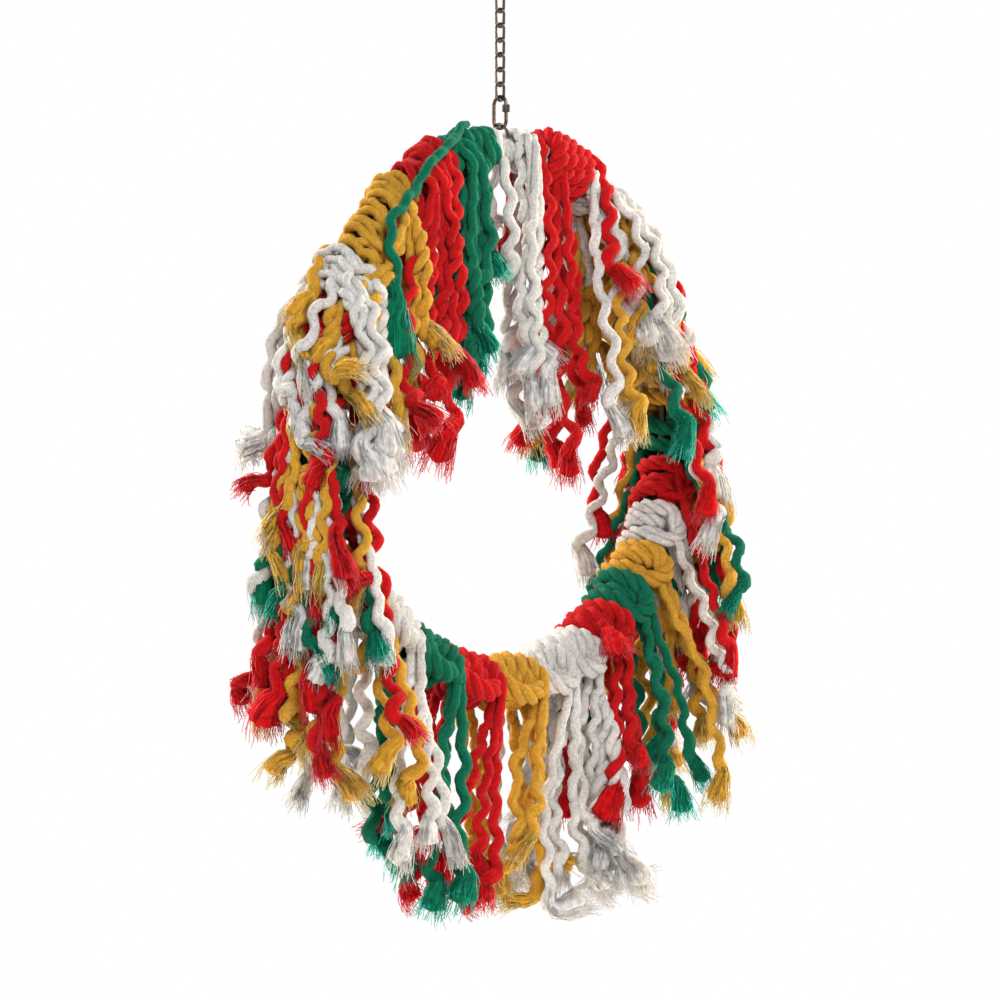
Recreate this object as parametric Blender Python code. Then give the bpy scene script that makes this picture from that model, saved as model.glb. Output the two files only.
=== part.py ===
"""Rope ring bird swing.

A steel hoop hangs from a small twisted chain between two quick links. Thirty-one lengths of
three-strand cotton rope are wound on the hoop, and the ends of each are unlaid into three
strands that hang as a fringe. Metres, +Z up. The hoop lies in the XZ plane with its front
towards -Y, and the origin is the inside top of the upper quick link, where the swing hangs.
"""
import math

import bmesh
import bpy
from mathutils import Vector

# Room left between two pieces that touch on the real object
SEAT = 0.0003

# Steel hoop: a ring of rod, sized at the middle of the rod
HOOP_RADIUS = 0.185
HOOP_ROD = 0.006
HOOP_STEPS = 64

# Wire eye welded on top of the hoop
EYE_WIRE = 0.0022
EYE_WIDTH = 0.0168
EYE_HEIGHT = 0.0177

# Quick links: an oval of wire with one leg cut, and a sleeve nut over the cut
LINK_WIRE = 0.0027
LINK_LENGTH = 0.0218
LINK_WIDTH = 0.0109
CUT_HEIGHT = 0.0028
CUT_LENGTH = 0.0030
NUT_LENGTH = 0.0052
NUT_FLATS = 0.0048
NUT_SIDES = 6

# Twisted chain
CHAIN_COUNT = 7
CHAIN_WIRE = 0.0020
CHAIN_LENGTH = 0.0125
CHAIN_WIDTH = 0.0058
CHAIN_TWIST = math.radians(90)
BEND_STEPS = 6

# Rope and the strands it is unlaid into
ROPE = 0.012
ROPE_TURN_GAP = 0.0015
ROPE_TURN_STEPS = 8
ROPE_SIDES = 6
ROPE_TAIL = 0.010
KNOT_GAP = 0.0004
STRAND = 0.0074
STRAND_GAP = 0.0006
STRAND_LENGTHS = (0.146, 0.118, 0.134)
STRAND_SHORT = 0.88
STRAND_TOP = 1.2
FLARE_TURN = math.radians(75)

# Angles from the top of the hoop between which the strands drape over the knots below
DRAPE_FROM = (18, 40)
DRAPE_TO = (130, 160)
TAIL_IN = (140, 178)
WOUND_FROM_INSIDE = 100
FREE_SLOPE = 0.03

# Ropes in order round the hoop from the eye towards +X: colour, turns, share of slack after it
ROPES = (
    ("white", 1.5, 4), ("red", 1.5, 5), ("white", 1.5, 4), ("gold", 1.5, 4),
    ("green", 1.5, 2), ("red", 1.5, 2), ("white", 1.5, 4), ("gold", 1.5, 4),
    ("green", 1.5, 2), ("red", 1.5, 2), ("white", 1.5, 1), ("gold", 1.5, 1),
    ("green", 1.5, 1), ("red", 1.5, 1), ("white", 1.5, 2), ("white", 1.5, 0),
    ("gold", 2.5, 0), ("red", 2.5, 0), ("green", 2.5, 0), ("white", 2.5, 8),
    ("gold", 1.5, 5), ("red", 1.5, 2), ("green", 1.5, 2), ("white", 1.5, 2),
    ("gold", 1.5, 2), ("red", 1.5, 2), ("white", 1.5, 5), ("gold", 1.5, 8),
    ("gold", 1.5, 5), ("red", 2.5, 0), ("green", 2.5, 0),
)

# Surface colours: red, green, blue, roughness, metallic
FINISHES = {
    "steel": (0.42, 0.40, 0.38, 0.30, 1.0),
    "white": (0.80, 0.79, 0.77, 0.90, 0.0),
    "red": (0.60, 0.02, 0.02, 0.90, 0.0),
    "green": (0.01, 0.22, 0.12, 0.90, 0.0),
    "gold": (0.55, 0.33, 0.05, 0.90, 0.0),
}

# Sides of the wire: 4 + 2 for each step
WIRE_ROUND = 2

# Edges sharper than this stay crisp
SMOOTH_ANGLE = math.radians(40)

# Points read on each step of a rope's route when its gap to itself is measured
GAP_POINTS = 6

# Worked out from the sizes above
ROPE_RADIUS = ROPE / 2
ROPE_FLAT = ROPE_RADIUS * math.cos(math.pi / ROPE_SIDES)
HOOP_SAG = HOOP_RADIUS * (1 - math.cos(math.pi / HOOP_STEPS))
WOUND_RADIUS = (HOOP_ROD / 2 + HOOP_SAG + SEAT + ROPE_FLAT) / math.cos(math.pi / ROPE_TURN_STEPS)
ROPE_PITCH = ROPE + ROPE_TURN_GAP
KNOT_LEAST = min(turns for _, turns, _ in ROPES) * ROPE_PITCH + ROPE + KNOT_GAP
TAIL_SIDE = WOUND_RADIUS + ROPE_PITCH
TAIL_BOTTOM = WOUND_RADIUS + ROPE_PITCH / 2
STRAND_PITCH = STRAND + STRAND_GAP
DRAPE = ROPE_RADIUS + STRAND / 2 + STRAND_GAP
DRAPE_DROP = ROPE
SHINGLE = STRAND_PITCH / KNOT_LEAST

UPPER_TOP = LINK_WIRE / 2
UPPER_BOTTOM = UPPER_TOP - LINK_LENGTH
CHAIN_IN_LINK = (LINK_WIRE + CHAIN_WIRE) / 2 + SEAT
CHAIN_PITCH = CHAIN_LENGTH - CHAIN_WIRE - SEAT
CHAIN_TOP = UPPER_BOTTOM + CHAIN_IN_LINK
CHAIN_END = CHAIN_TOP - (CHAIN_COUNT - 1) * CHAIN_PITCH - CHAIN_LENGTH
LOWER_TOP = CHAIN_END + CHAIN_IN_LINK
LOWER_BOTTOM = LOWER_TOP - LINK_LENGTH
EYE_TOP = LOWER_BOTTOM + (LINK_WIRE + EYE_WIRE) / 2 + SEAT
HOOP_TOP = EYE_TOP - EYE_HEIGHT
HOOP_CENTRE = Vector((0, 0, HOOP_TOP - HOOP_RADIUS))

ACROSS = Vector((1, 0, 0))
FRONT = Vector((0, -1, 0))
UP = Vector((0, 0, 1))


def clear_scene():
    for obj in list(bpy.data.objects):
        bpy.data.objects.remove(obj, do_unlink=True)


def finish(name):
    """A plain surface in one of the object's finishes."""
    red, green, blue, roughness, metallic = FINISHES[name]
    surface = bpy.data.materials.new(name)
    surface.use_nodes = True
    shader = surface.node_tree.nodes["Principled BSDF"]
    shader.inputs["Base Color"].default_value = (red, green, blue, 1)
    shader.inputs["Roughness"].default_value = roughness
    shader.inputs["Metallic"].default_value = metallic
    return surface


def place(name, data, surface, pivot, parent=None):
    """An object whose origin is on the axis that it turns about."""
    obj = bpy.data.objects.new(name, data)
    bpy.context.scene.collection.objects.link(obj)
    data.materials.append(surface)
    obj.location = pivot
    if parent:
        obj.parent = parent
        obj.location = pivot - world_origin(parent)
    return obj


def world_origin(obj):
    origin = obj.location.copy()
    while obj.parent:
        obj = obj.parent
        origin += obj.location
    return origin


def bent_wire(name, points, diameter, pivot, closed):
    """Round wire along world points, stored about its pivot."""
    curve = bpy.data.curves.new(name, "CURVE")
    curve.dimensions = "3D"
    curve.twist_mode = "MINIMUM"
    curve.bevel_depth = diameter / 2
    curve.bevel_resolution = WIRE_ROUND
    curve.use_fill_caps = not closed
    spline = curve.splines.new("POLY")
    spline.points.add(len(points) - 1)
    spline.use_cyclic_u = closed
    spline.use_smooth = True
    for slot, point in zip(spline.points, points):
        slot.co = (*(point - pivot), 1)
    return curve


def arc(radius, start, end, steps):
    """Pairs across and up on a circle, from one angle to another."""
    angles = [start + (end - start) * i / steps for i in range(steps + 1)]
    return [(radius * math.cos(a), radius * math.sin(a)) for a in angles]


def quick_link(name, surface, top, across, parent, pivot):
    """An oval of wire whose leg on the across side is cut for the nut."""
    half = LINK_WIDTH / 2
    straight = LINK_LENGTH / 2 - half
    low = CUT_HEIGHT - CUT_LENGTH / 2
    high = CUT_HEIGHT + CUT_LENGTH / 2
    outline = [(half, high)]
    outline += [(x, straight + z) for x, z in arc(half, 0, math.pi, 2 * BEND_STEPS)]
    outline += [(x, z - straight) for x, z in arc(half, math.pi, math.tau, 2 * BEND_STEPS)]
    outline += [(half, low)]
    middle = Vector((0, 0, top - LINK_LENGTH / 2))
    points = [middle + across * x + UP * z for x, z in outline]
    return place(name, bent_wire(name, points, LINK_WIRE, pivot, False), surface, pivot, parent)


def sleeve_nut(name, surface, top, across, parent):
    """A hexagon sleeve over the cut, with a round bore that runs on the leg."""
    centre = Vector((0, 0, top - LINK_LENGTH / 2 + CUT_HEIGHT)) + across * (LINK_WIDTH / 2)
    bore = LINK_WIRE / 2 + SEAT
    count = 2 * NUT_SIDES
    mesh = bmesh.new()
    rings = []
    for z in (-NUT_LENGTH / 2, NUT_LENGTH / 2):
        for inner in (False, True):
            ring = []
            for i in range(count):
                angle = math.tau * i / count
                corner = 1 / math.cos(math.pi / NUT_SIDES) if i % 2 == 0 else 1
                radius = bore / math.cos(math.pi / count) if inner else NUT_FLATS / 2 * corner
                ring.append(mesh.verts.new((radius * math.cos(angle), radius * math.sin(angle), z)))
            rings.append(ring)
    low_out, low_in, high_out, high_in = rings
    for i in range(count):
        j = (i + 1) % count
        mesh.faces.new((low_out[i], low_out[j], high_out[j], high_out[i]))
        mesh.faces.new((low_in[j], low_in[i], high_in[i], high_in[j]))
        mesh.faces.new((low_in[i], low_in[j], low_out[j], low_out[i]))
        mesh.faces.new((high_in[j], high_in[i], high_out[i], high_out[j]))
    return place(name, to_mesh(name, mesh), surface, centre, parent)


def to_mesh(name, mesh):
    """The finished mesh, with its faces turned out and its round sides smooth."""
    bmesh.ops.recalc_face_normals(mesh, faces=mesh.faces)
    data = bpy.data.meshes.new(name)
    mesh.to_mesh(data)
    mesh.free()
    data.shade_smooth()
    data.set_sharp_from_angle(angle=SMOOTH_ANGLE)
    return data


def chain_link(number, surface, parent, pivot):
    """An oval link turned about its length, so that its two ends are square to each other."""
    name = f"chain_link_{number}"
    half = CHAIN_WIDTH / 2
    straight = CHAIN_LENGTH / 2 - half
    outline = [(x, straight + z) for x, z in arc(half, 0, math.pi, BEND_STEPS)]
    outline += [(-half, 0)]
    outline += [(x, z - straight) for x, z in arc(half, math.pi, math.tau, BEND_STEPS)]
    outline += [(half, 0)]
    middle = Vector((0, 0, CHAIN_TOP - (number - 1) * CHAIN_PITCH - CHAIN_LENGTH / 2))
    points = []
    for x, z in outline:
        turn = -CHAIN_TWIST * (0.5 + z / CHAIN_LENGTH)
        points.append(middle + Vector((x * math.cos(turn), x * math.sin(turn), z)))
    return place(name, bent_wire(name, points, CHAIN_WIRE, pivot, True), surface, pivot, parent)


def hoop(surface, parent, pivot):
    circle = arc(HOOP_RADIUS, 0, math.tau, HOOP_STEPS)[:-1]
    points = [HOOP_CENTRE + ACROSS * x + UP * z for x, z in circle]
    return place("steel_hoop", bent_wire("steel_hoop", points, HOOP_ROD, pivot, True),
                 surface, pivot, parent)


def hoop_eye(surface, parent, pivot):
    half = EYE_WIDTH / 2
    foot = Vector((0, 0, HOOP_TOP + HOOP_ROD / 2 + SEAT))
    bend = Vector((0, 0, EYE_TOP - half))
    points = [foot + ACROSS * half]
    points += [bend + ACROSS * x + UP * z for x, z in arc(half, 0, math.pi, 2 * BEND_STEPS)]
    points += [foot - ACROSS * half]
    return place("hoop_eye", bent_wire("hoop_eye", points, EYE_WIRE, pivot, False),
                 surface, pivot, parent)


def rope_angles():
    """Where each rope is tied: knots side by side, with the slack shared out between them."""
    widths = [(turns * ROPE_PITCH + ROPE + KNOT_GAP) / HOOP_RADIUS for _, turns, _ in ROPES]
    eye = (EYE_WIDTH + EYE_WIRE + 2 * SEAT) / HOOP_RADIUS
    slack = math.tau - eye - sum(widths)
    share = slack / sum(gap for _, _, gap in ROPES)
    angle = eye / 2
    angles = []
    for width, (_, _, gap) in zip(widths, ROPES):
        angles.append(angle + width / 2)
        angle += width + share * gap
    return angles


def ease(value, low, high):
    """0 below low, 1 above high, with a soft step between them."""
    x = min(max((value - low) / (high - low), 0), 1)
    return x * x * (3 - 2 * x)


def from_top(angle):
    """Degrees from the top of the hoop, on either side."""
    return abs(math.degrees((angle + math.pi) % math.tau - math.pi))


def outward(angle):
    """Direction away from the hoop's middle, at an angle from its top towards +X."""
    return Vector((math.sin(angle), 0, math.cos(angle)))


def rope_route(angle, turns):
    """Middle line of one rope: up from its front end, round the hoop, down to its back end."""
    side = from_top(angle)
    tail = TAIL_SIDE + (TAIL_BOTTOM - TAIL_SIDE) * ease(side, *TAIL_IN)
    sense = 1 if side > WOUND_FROM_INSIDE else -1
    steps = round(turns * ROPE_TURN_STEPS)
    points = []
    for i in range(steps + 1):
        turned = turns * math.tau * i / steps
        to_end = min(turned, turns * math.tau - turned)
        flare = max(0, 1 - to_end / FLARE_TURN) ** 2
        radius = WOUND_RADIUS + (tail - WOUND_RADIUS) * flare
        around = math.pi / 2 + sense * turned
        shift = ROPE_PITCH * (turned / math.tau - turns / 2)
        away = outward(angle + shift / HOOP_RADIUS)
        points.append(HOOP_CENTRE + away * (HOOP_RADIUS + radius * math.cos(around))
                      + FRONT * radius * math.sin(around))
    drop = UP * ROPE_TAIL
    return [points[0] - drop] + points + [points[-1] - drop]


def least_gap(route):
    """Least room between stretches of one rope that are more than two diameters apart along it."""
    points = []
    for start, end in zip(route, route[1:]):
        points += [start.lerp(end, i / GAP_POINTS) for i in range(GAP_POINTS)]
    travelled = [0]
    for start, end in zip(points, points[1:]):
        travelled.append(travelled[-1] + (end - start).length)
    gap = math.inf
    for i, first in enumerate(points):
        for j in range(i + 1, len(points)):
            if travelled[j] - travelled[i] > 2 * ROPE:
                gap = min(gap, (points[j] - first).length - ROPE)
    return gap


def carried_frames(route, along):
    """A direction across the rope at each point, carried both ways from the middle without twist."""
    tangents = []
    for i in range(len(route)):
        before = route[max(i - 1, 0)]
        after = route[min(i + 1, len(route) - 1)]
        tangents.append((after - before).normalized())
    tangents[0] = UP.copy()
    tangents[-1] = -UP
    middle = len(route) // 2
    sides = [None] * len(route)
    sides[middle] = (along - tangents[middle] * along.dot(tangents[middle])).normalized()
    for i in range(middle + 1, len(route)):
        sides[i] = tangents[i - 1].rotation_difference(tangents[i]) @ sides[i - 1]
    for i in range(middle - 1, -1, -1):
        sides[i] = tangents[i + 1].rotation_difference(tangents[i]) @ sides[i + 1]
    return tangents, sides


def strand_route(end, across, out, side, length):
    """Middle line of one strand: over the knot below where the hoop is steep, then down."""
    steep = ease(side, *DRAPE_FROM) * (1 - ease(side, *DRAPE_TO))
    slope = FREE_SLOPE + (SHINGLE - FREE_SLOPE) * steep
    start = end + ACROSS * across + out * DRAPE * steep - UP * DRAPE_DROP
    fall = length - DRAPE_DROP
    return [start, start + (out * slope - UP) * fall]


def hang_strands(mesh, ring, centre, out, side, lengths):
    """Three strands drawn out of the rope's end, which is split from its middle into three faces."""
    hub = mesh.verts.new(centre)
    thirds = []
    for i in range(0, ROPE_SIDES, 2):
        corners = [hub, ring[i], ring[i + 1], ring[(i + 2) % ROPE_SIDES]]
        thirds.append((corners, (ring[i + 1].co - centre).normalized()))
    thirds.sort(key=lambda third: third[1].x)
    for place_across, (corners, away), length in zip((-1, 0, 1), thirds, lengths):
        turned = UP.cross(away)
        sign = 1 if (corners[1].co - centre).dot(turned) > 0 else -1
        offsets = (-away, turned * sign, away, -turned * sign)
        last = corners
        for point in strand_route(centre, place_across * STRAND_PITCH, out, side, length):
            stop = [mesh.verts.new(point + offset * STRAND / 2) for offset in offsets]
            for k in range(4):
                mesh.faces.new((last[k], last[(k + 1) % 4], stop[(k + 1) % 4], stop[k]))
            last = stop
        mesh.faces.new(last)


def rope(number, colour, turns, angle, surface, parent, pivot):
    """One rope: an unbroken tube wound on the hoop, with three strands at each end."""
    name = f"{colour}_rope_{number:02d}"
    route = rope_route(angle, turns)
    tangents, sides = carried_frames(route, FRONT.cross(outward(angle)))
    mesh = bmesh.new()
    rings = []
    for point, tangent, side in zip(route, tangents, sides):
        other = tangent.cross(side)
        ring = []
        for i in range(ROPE_SIDES):
            turn = math.tau * i / ROPE_SIDES
            spoke = side * math.cos(turn) + other * math.sin(turn)
            ring.append(mesh.verts.new(point - pivot + spoke * ROPE_RADIUS))
        rings.append(ring)
    for last, ring in zip(rings, rings[1:]):
        for i in range(ROPE_SIDES):
            j = (i + 1) % ROPE_SIDES
            mesh.faces.new((last[i], last[j], ring[j], ring[i]))
    side_angle = from_top(angle)
    grown = STRAND_TOP + (1 - STRAND_TOP) * ease(side_angle, *DRAPE_FROM)
    if number % 2:
        grown *= STRAND_SHORT
    lengths = [length * grown for length in STRAND_LENGTHS]
    hang_strands(mesh, rings[0], route[0] - pivot, FRONT, side_angle, lengths)
    hang_strands(mesh, rings[-1], route[-1] - pivot, -FRONT, side_angle, lengths[::-1])
    place(name, to_mesh(name, mesh), surface, pivot, parent)
    return least_gap(route)


def build():
    clear_scene()
    surfaces = {name: finish(name) for name in FINISHES}
    steel = surfaces["steel"]

    upper = quick_link("upper_quick_link", steel, UPPER_TOP, FRONT.cross(UP), None, Vector())
    sleeve_nut("upper_link_nut", steel, UPPER_TOP, FRONT.cross(UP), upper)

    carrier = upper
    for number in range(1, CHAIN_COUNT + 1):
        own_top = CHAIN_TOP - (number - 1) * CHAIN_PITCH
        wire_above = UPPER_BOTTOM if number == 1 else own_top - CHAIN_WIRE - SEAT
        pivot = wire_above if number % 2 else own_top
        carrier = chain_link(number, steel, carrier, Vector((0, 0, pivot)))

    lower = quick_link("lower_quick_link", steel, LOWER_TOP, FRONT, carrier, Vector((0, 0, LOWER_TOP)))
    sleeve_nut("lower_link_nut", steel, LOWER_TOP, FRONT, lower)

    swing = Vector((0, 0, EYE_TOP))
    ring = hoop(steel, lower, swing)
    hoop_eye(steel, ring, swing)
    gaps = []
    for number, ((colour, turns, _), angle) in enumerate(zip(ROPES, rope_angles()), 1):
        gaps.append(rope(number, colour, turns, angle, surfaces[colour], ring, swing))
    print(f"least gap of a wound rope to itself: {min(gaps) * 1000:.2f} mm")


build()
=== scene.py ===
"""Looks of the rope ring bird swing: steel, wound rope, hanging strands and frayed ends.

Each length of rope is three plies laid together. They are wound on the hoop, come apart where
the rope leaves it, hang as wavy strands that rest on what is below them, and end in a brush.
"""
import math

import bpy
import numpy as np
from bpy.props import FloatProperty, FloatVectorProperty, IntProperty, PointerProperty
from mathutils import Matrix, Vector, kdtree


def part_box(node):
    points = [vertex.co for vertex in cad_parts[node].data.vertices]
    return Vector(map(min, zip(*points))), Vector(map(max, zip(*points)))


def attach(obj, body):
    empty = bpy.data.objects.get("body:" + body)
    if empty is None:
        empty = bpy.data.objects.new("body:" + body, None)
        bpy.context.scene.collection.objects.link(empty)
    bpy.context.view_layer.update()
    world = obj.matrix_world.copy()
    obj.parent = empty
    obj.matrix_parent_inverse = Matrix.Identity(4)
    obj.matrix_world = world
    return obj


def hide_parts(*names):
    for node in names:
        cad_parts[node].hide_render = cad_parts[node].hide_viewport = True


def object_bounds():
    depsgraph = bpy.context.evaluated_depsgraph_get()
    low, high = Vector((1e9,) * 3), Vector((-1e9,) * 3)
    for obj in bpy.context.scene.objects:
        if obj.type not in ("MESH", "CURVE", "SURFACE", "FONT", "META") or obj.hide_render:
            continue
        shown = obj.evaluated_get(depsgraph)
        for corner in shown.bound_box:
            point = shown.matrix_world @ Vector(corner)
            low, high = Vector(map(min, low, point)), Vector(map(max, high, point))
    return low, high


bl_info = {
    "name": "Rope ring bird swing",
    "version": (1, 0, 0),
    "blender": (4, 5, 0),
    "location": "View3D > Sidebar > Swing",
    "description": "Builds the looks of a rope ring bird swing around its frame",
    "category": "Object",
}

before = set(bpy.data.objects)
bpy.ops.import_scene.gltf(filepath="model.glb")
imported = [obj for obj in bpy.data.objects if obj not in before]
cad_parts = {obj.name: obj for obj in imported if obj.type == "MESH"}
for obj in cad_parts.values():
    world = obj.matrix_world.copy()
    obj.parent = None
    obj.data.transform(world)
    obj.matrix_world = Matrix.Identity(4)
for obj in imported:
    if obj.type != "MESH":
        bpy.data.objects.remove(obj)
CAD_BOX = [list(corner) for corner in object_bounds()]

MM = 0.001
UP = np.array((0.0, 0.0, 1.0))
FRONT = np.array((0.0, -1.0, 0.0))
ACROSS = np.array((1.0, 0.0, 0.0))

# The hoop as the frame has it
HOOP_LOW, HOOP_HIGH = np.array(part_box("steel_hoop"))
HOOP_ROD = HOOP_HIGH[1] - HOOP_LOW[1]
HOOP_RADIUS = (HOOP_HIGH[0] - HOOP_LOW[0] - HOOP_ROD) / 2
HOOP_CENTRE = (HOOP_LOW + HOOP_HIGH) / 2

# How the rope lies on the hoop. Ropes go by their number, and places by degrees from the top
ROPE = 12.0 * MM
ROPE_PITCH = 13.5 * MM
ROW_PITCH = 10.2 * MM
WOUND_RADIUS = HOOP_ROD / 2 + ROPE / 2 + 0.3 * MM
# Past this place the first turn goes round the inner side of the hoop
WOUND_FROM_INSIDE = 100
# An end stands off the rod's middle by the tail's radius, within its last turn, and then drops
TAIL_RADIUS = 16.0 * MM
TAIL_DROP = 10.0 * MM
FLARE_TURN = math.radians(75)
UNEVEN = 1.6 * MM
# Low knots are bulkier
BULKY = (110, 140)
LOW_BULK = 0.30
# Ropes that have come out of their lay on the hoop, and their plies' pitch in thicknesses
LOOSE = (28, 29, 30, 31)
PARTED = 0.74
# The plies of a laid rope: off its middle, in half thicknesses, and where the lay ends
PLY_OUT = 1.12
UNLAID = 20.0 * MM
BESIDE_EYE = 1
TURN_STEPS = 40
ROUTE_STEP = 1.5 * MM

# Rows that cover the fullest knot, and the bight on the front of a low one: its ends, inwards and
# forwards, and how far it bows from there, outwards and forwards
FULLEST = 2
MASS_RADIUS = 18.0 * MM
MASS_BULK = 1.25
MASS_TURNS = 1.5
BARRED = 62
BAR_SEAT = (7.0 * MM, 8.0 * MM)
BAR_BOW = (15.0 * MM, 17.0 * MM)

# Lengths of a rope's three strands, and shares of them for odd ropes, at the top and by rope
STRAND_LENGTHS = (146.0 * MM, 118.0 * MM, 134.0 * MM)
STRAND_SHORT = 0.88
STRAND_TOP = 1.2
TOP_FADES = (18, 40)
TRIMS = {14: 0.7, 20: 0.86, 21: 0.95, 22: 0.86, 23: 0.68, 27: 0.82, 28: 0.75, 29: 0.82, 31: 0.85}

# How the strands of a rope fan out over the side of the hoop: where, and by how many degrees each
FAN_FROM = (14, 42)
FAN_TO = (118, 150)
FAN = (4, 38, 74)
FAN_VARIES = 8
FAN_WITHIN = 45.0 * MM
# They come so far off the hoop's plane, follow a share of its bulge, and lean away from it
DRAPE = 20.0 * MM
FOLLOW = 0.85
LEAN = 0.02
LEAN_VARIES = 0.02
LEAN_RIGHT = 0.34
LEAN_LEFT = 0.15
LEAN_OUT = 0.10
# At the sides they stand further out, and low down they hang side by side
SPRINGY = 14.0 * MM
SPRINGY_WITHIN = 70.0 * MM
SPRINGY_FROM = (70, 95)
SPRINGY_TO = (135, 160)
STRAND_PITCH = 4.0 * MM
LOW_FROM = (125, 150)
LOW_PITCH = 12.5 * MM

# How a strand wanders, curls at its end and is crimped
MEANDER = math.radians(12)
MEANDER_WAVE = (55.0 * MM, 120.0 * MM)
MEANDER_FROM = (15.0 * MM, 50.0 * MM)
CURL = 30
CURL_MOST = 120
CURL_WITHIN = 45.0 * MM
CRIMP_FROM = (2.0 * MM, 20.0 * MM)
CRIMP_VARIES = (0.88, 1.2)
CRIMP_DEPTHS = (0.6, 1.3)
CRIMP_FLAT = 0.6
PHASE_STEP = 0.9

# Strands that come out at the top of a steep knot: how far off the hoop they start, outwards and
# to the front, and how much further they come
COVERED = (52, 180)
COVER = (100.0 * MM, 150.0 * MM)
COVER_RISE = 14.0 * MM
COVER_SEAT = (8.0 * MM, 5.0 * MM)
COVER_OUT = (13.0 * MM, 3.0 * MM)
COVER_WITHIN = 30.0 * MM
COVER_LEAN = 0.05

# Loose plies that lie over the hoop: in the gaps near its top, and so many on some knots
DRAPED = (90.0 * MM, 165.0 * MM)
DRAPED_TO = 46
DRAPED_RADIUS = 13.0 * MM
DRAPED_OUT = 4.0 * MM
DRAPED_LEAN = 0.03
EYE_GAP = (0.35, 0.74)
OVERLAID = {4: 4, 27: 4, 29: 2, 30: 3, 31: 2}
OVERLAID_RADIUS = 14.5 * MM
OVERLAID_PITCH = 1.25
MASS_OVERLAID = ((-3.2, DRAPED_RADIUS), (2.3, MASS_RADIUS + 3.0 * MM))

# Springy plies by rope: millimetres along the hoop, slant, length of the bend and whole length
ARCHES = {
    3: ((-8, 0.05, 0.045, 0.125), (-2, 0.20, 0.060, 0.115), (4, 0.35, 0.070, 0.120),
        (9, 0.60, 0.080, 0.130), (13, 0.85, 0.085, 0.110)),
    15: ((-7, 0.15, 0.040, 0.165), (-1, 0.30, 0.050, 0.155), (5, 0.50, 0.060, 0.150)),
    27: ((-9, -0.10, 0.055, 0.125), (-3, -0.30, 0.065, 0.135), (3, -0.15, 0.075, 0.125),
         (8, -0.45, 0.060, 0.115)),
}
ARCH_CRIMP = 1.15

# One ply that strays over the next knots, and one short end
STRAY = 31
STRAY_OVER = (350, 315)
STRAY_RADIUS = 19.0 * MM
STRAY_FRONT = 26.0 * MM
STRAY_FALL = 70.0 * MM
SHORT = 14
SHORT_SEAT = 12.0 * MM
SHORT_END = 26.0 * MM
STRAY_CRIMP = 0.4

# How the strands settle: their springs reach over so many points, with a stiffness for each reach,
# and the wall is how far they may leave the CAD box
SIM_STEP = 4.0 * MM
ROOT_POINTS = 2
OWN_POINTS = 8
SETTLE_ROUNDS = 110
PAIRS_EVERY = 10
SPRINGS = ((1, 1.0), (2, 0.6), (3, 0.5), (6, 0.3))
SINK = 0.16 * MM
HOMEWARD = 0.004
SQUEEZED = 0.86
WALL = np.array((5.0, 2.0, 5.0)) * MM
# Cosine of the sharpest turn that is left in a strand
KINK = 0.15
STRAND_STEP = 2.0 * MM
STRAND_VARIES = (0.88, 1.12)
STRAND_SWELLS = 12.0 * MM
CORDS_DECLARED = 40

# Frayed ends: one in so many is bushier, they hang down, and they may leave the CAD box by so much
TUFT_VARIES = (0.75, 1.2)
BRUSH_WIDE = (7.0 * MM, 12.5 * MM)
BUSHY = 0.25
BUSHIER = 1.35
BUSHIEST = 1.5
HANGS = 0.6
# The bell that the yarns make lies between two places along the brush, and just inside them
BELL = (0.30, 0.87)
BELL_FULL = 0.84
SPREADS_FROM = 0.22
LOCKS = 13
YARN_POINTS = 6
FRIZZ = 2.4 * MM
STICKS_OUT = 1.3 * MM
TUFT_PAST = np.array((11.0, 7.0, 11.0)) * MM

# Sides, lobes and their depth of what is drawn, the yarns in a ply, and hairs on a square metre of it
PLY_STOCK = (12, 6, 0.06)
BELL_STOCK = (20, 10, 0.1)
YARNS = 18.0
YARN_LAY = 60.0 * MM
DOWN_DENSITY = 27000.0
HAIRS_LEAN = 1.25

# Steps along the wire, half the gap that a quick link's sleeve closes, and the sleeve's play
WIRE_STEP = 0.6 * MM
LINK_STEP = 0.5 * MM
LINK_GAP = 1.5 * MM
NUT_PLAY = 0.3 * MM
SLEEVE_SIDES = 72
CHAMFERED = 0.86

# Painted shade: the wire's reflection at its grazing edges is tinted dull grey, which darkens its
# outline
DIMMED_EDGE_REFLECTION = "#8A827A"

# The floor, and the lights: their strength, degrees round from the camera and up, distance, width
# and colour
FLOOR_RADIUS = 2.4
FLOOR_SIDES = 96
LIGHTS = (
    ("key_light", "key", 12, 30, 2.0, 1.0, "#FFFDFA"),
    ("rim_left", "rim", -118, 28, 1.7, 0.9, "#FFF4E8"),
    ("rim_right", "rim", 122, 25, 1.7, 0.9, "#FFEFDC"),
)


def linear(code):
    """A hex colour of the screen as linear red, green, blue and alpha."""
    parts = [int(code[i:i + 2], 16) / 255 for i in (1, 3, 5)]
    return tuple(c / 12.92 if c < 0.04045 else ((c + 0.055) / 1.055) ** 2.4 for c in parts) + (1.0,)


def add(tree, kind, inputs=(), **settings):
    """One node with its settings, and each input set to a value or linked to a socket."""
    node = tree.nodes.new(kind)
    for name, value in settings.items():
        setattr(node, name, value)
    for key, value in dict(inputs).items():
        if isinstance(value, bpy.types.NodeSocket):
            tree.links.new(value, node.inputs[key])
        else:
            node.inputs[key].default_value = value
    return node


# Sizes and colours that a user would change


def metres(name, description, default):
    """A size in metres."""
    return FloatProperty(name=name, description=description, default=default, unit="LENGTH")


def dye(name, description, code):
    """A colour, given by its hex code."""
    return FloatVectorProperty(
        name=name, description=description, size=4, subtype="COLOR", default=linear(code))


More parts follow.
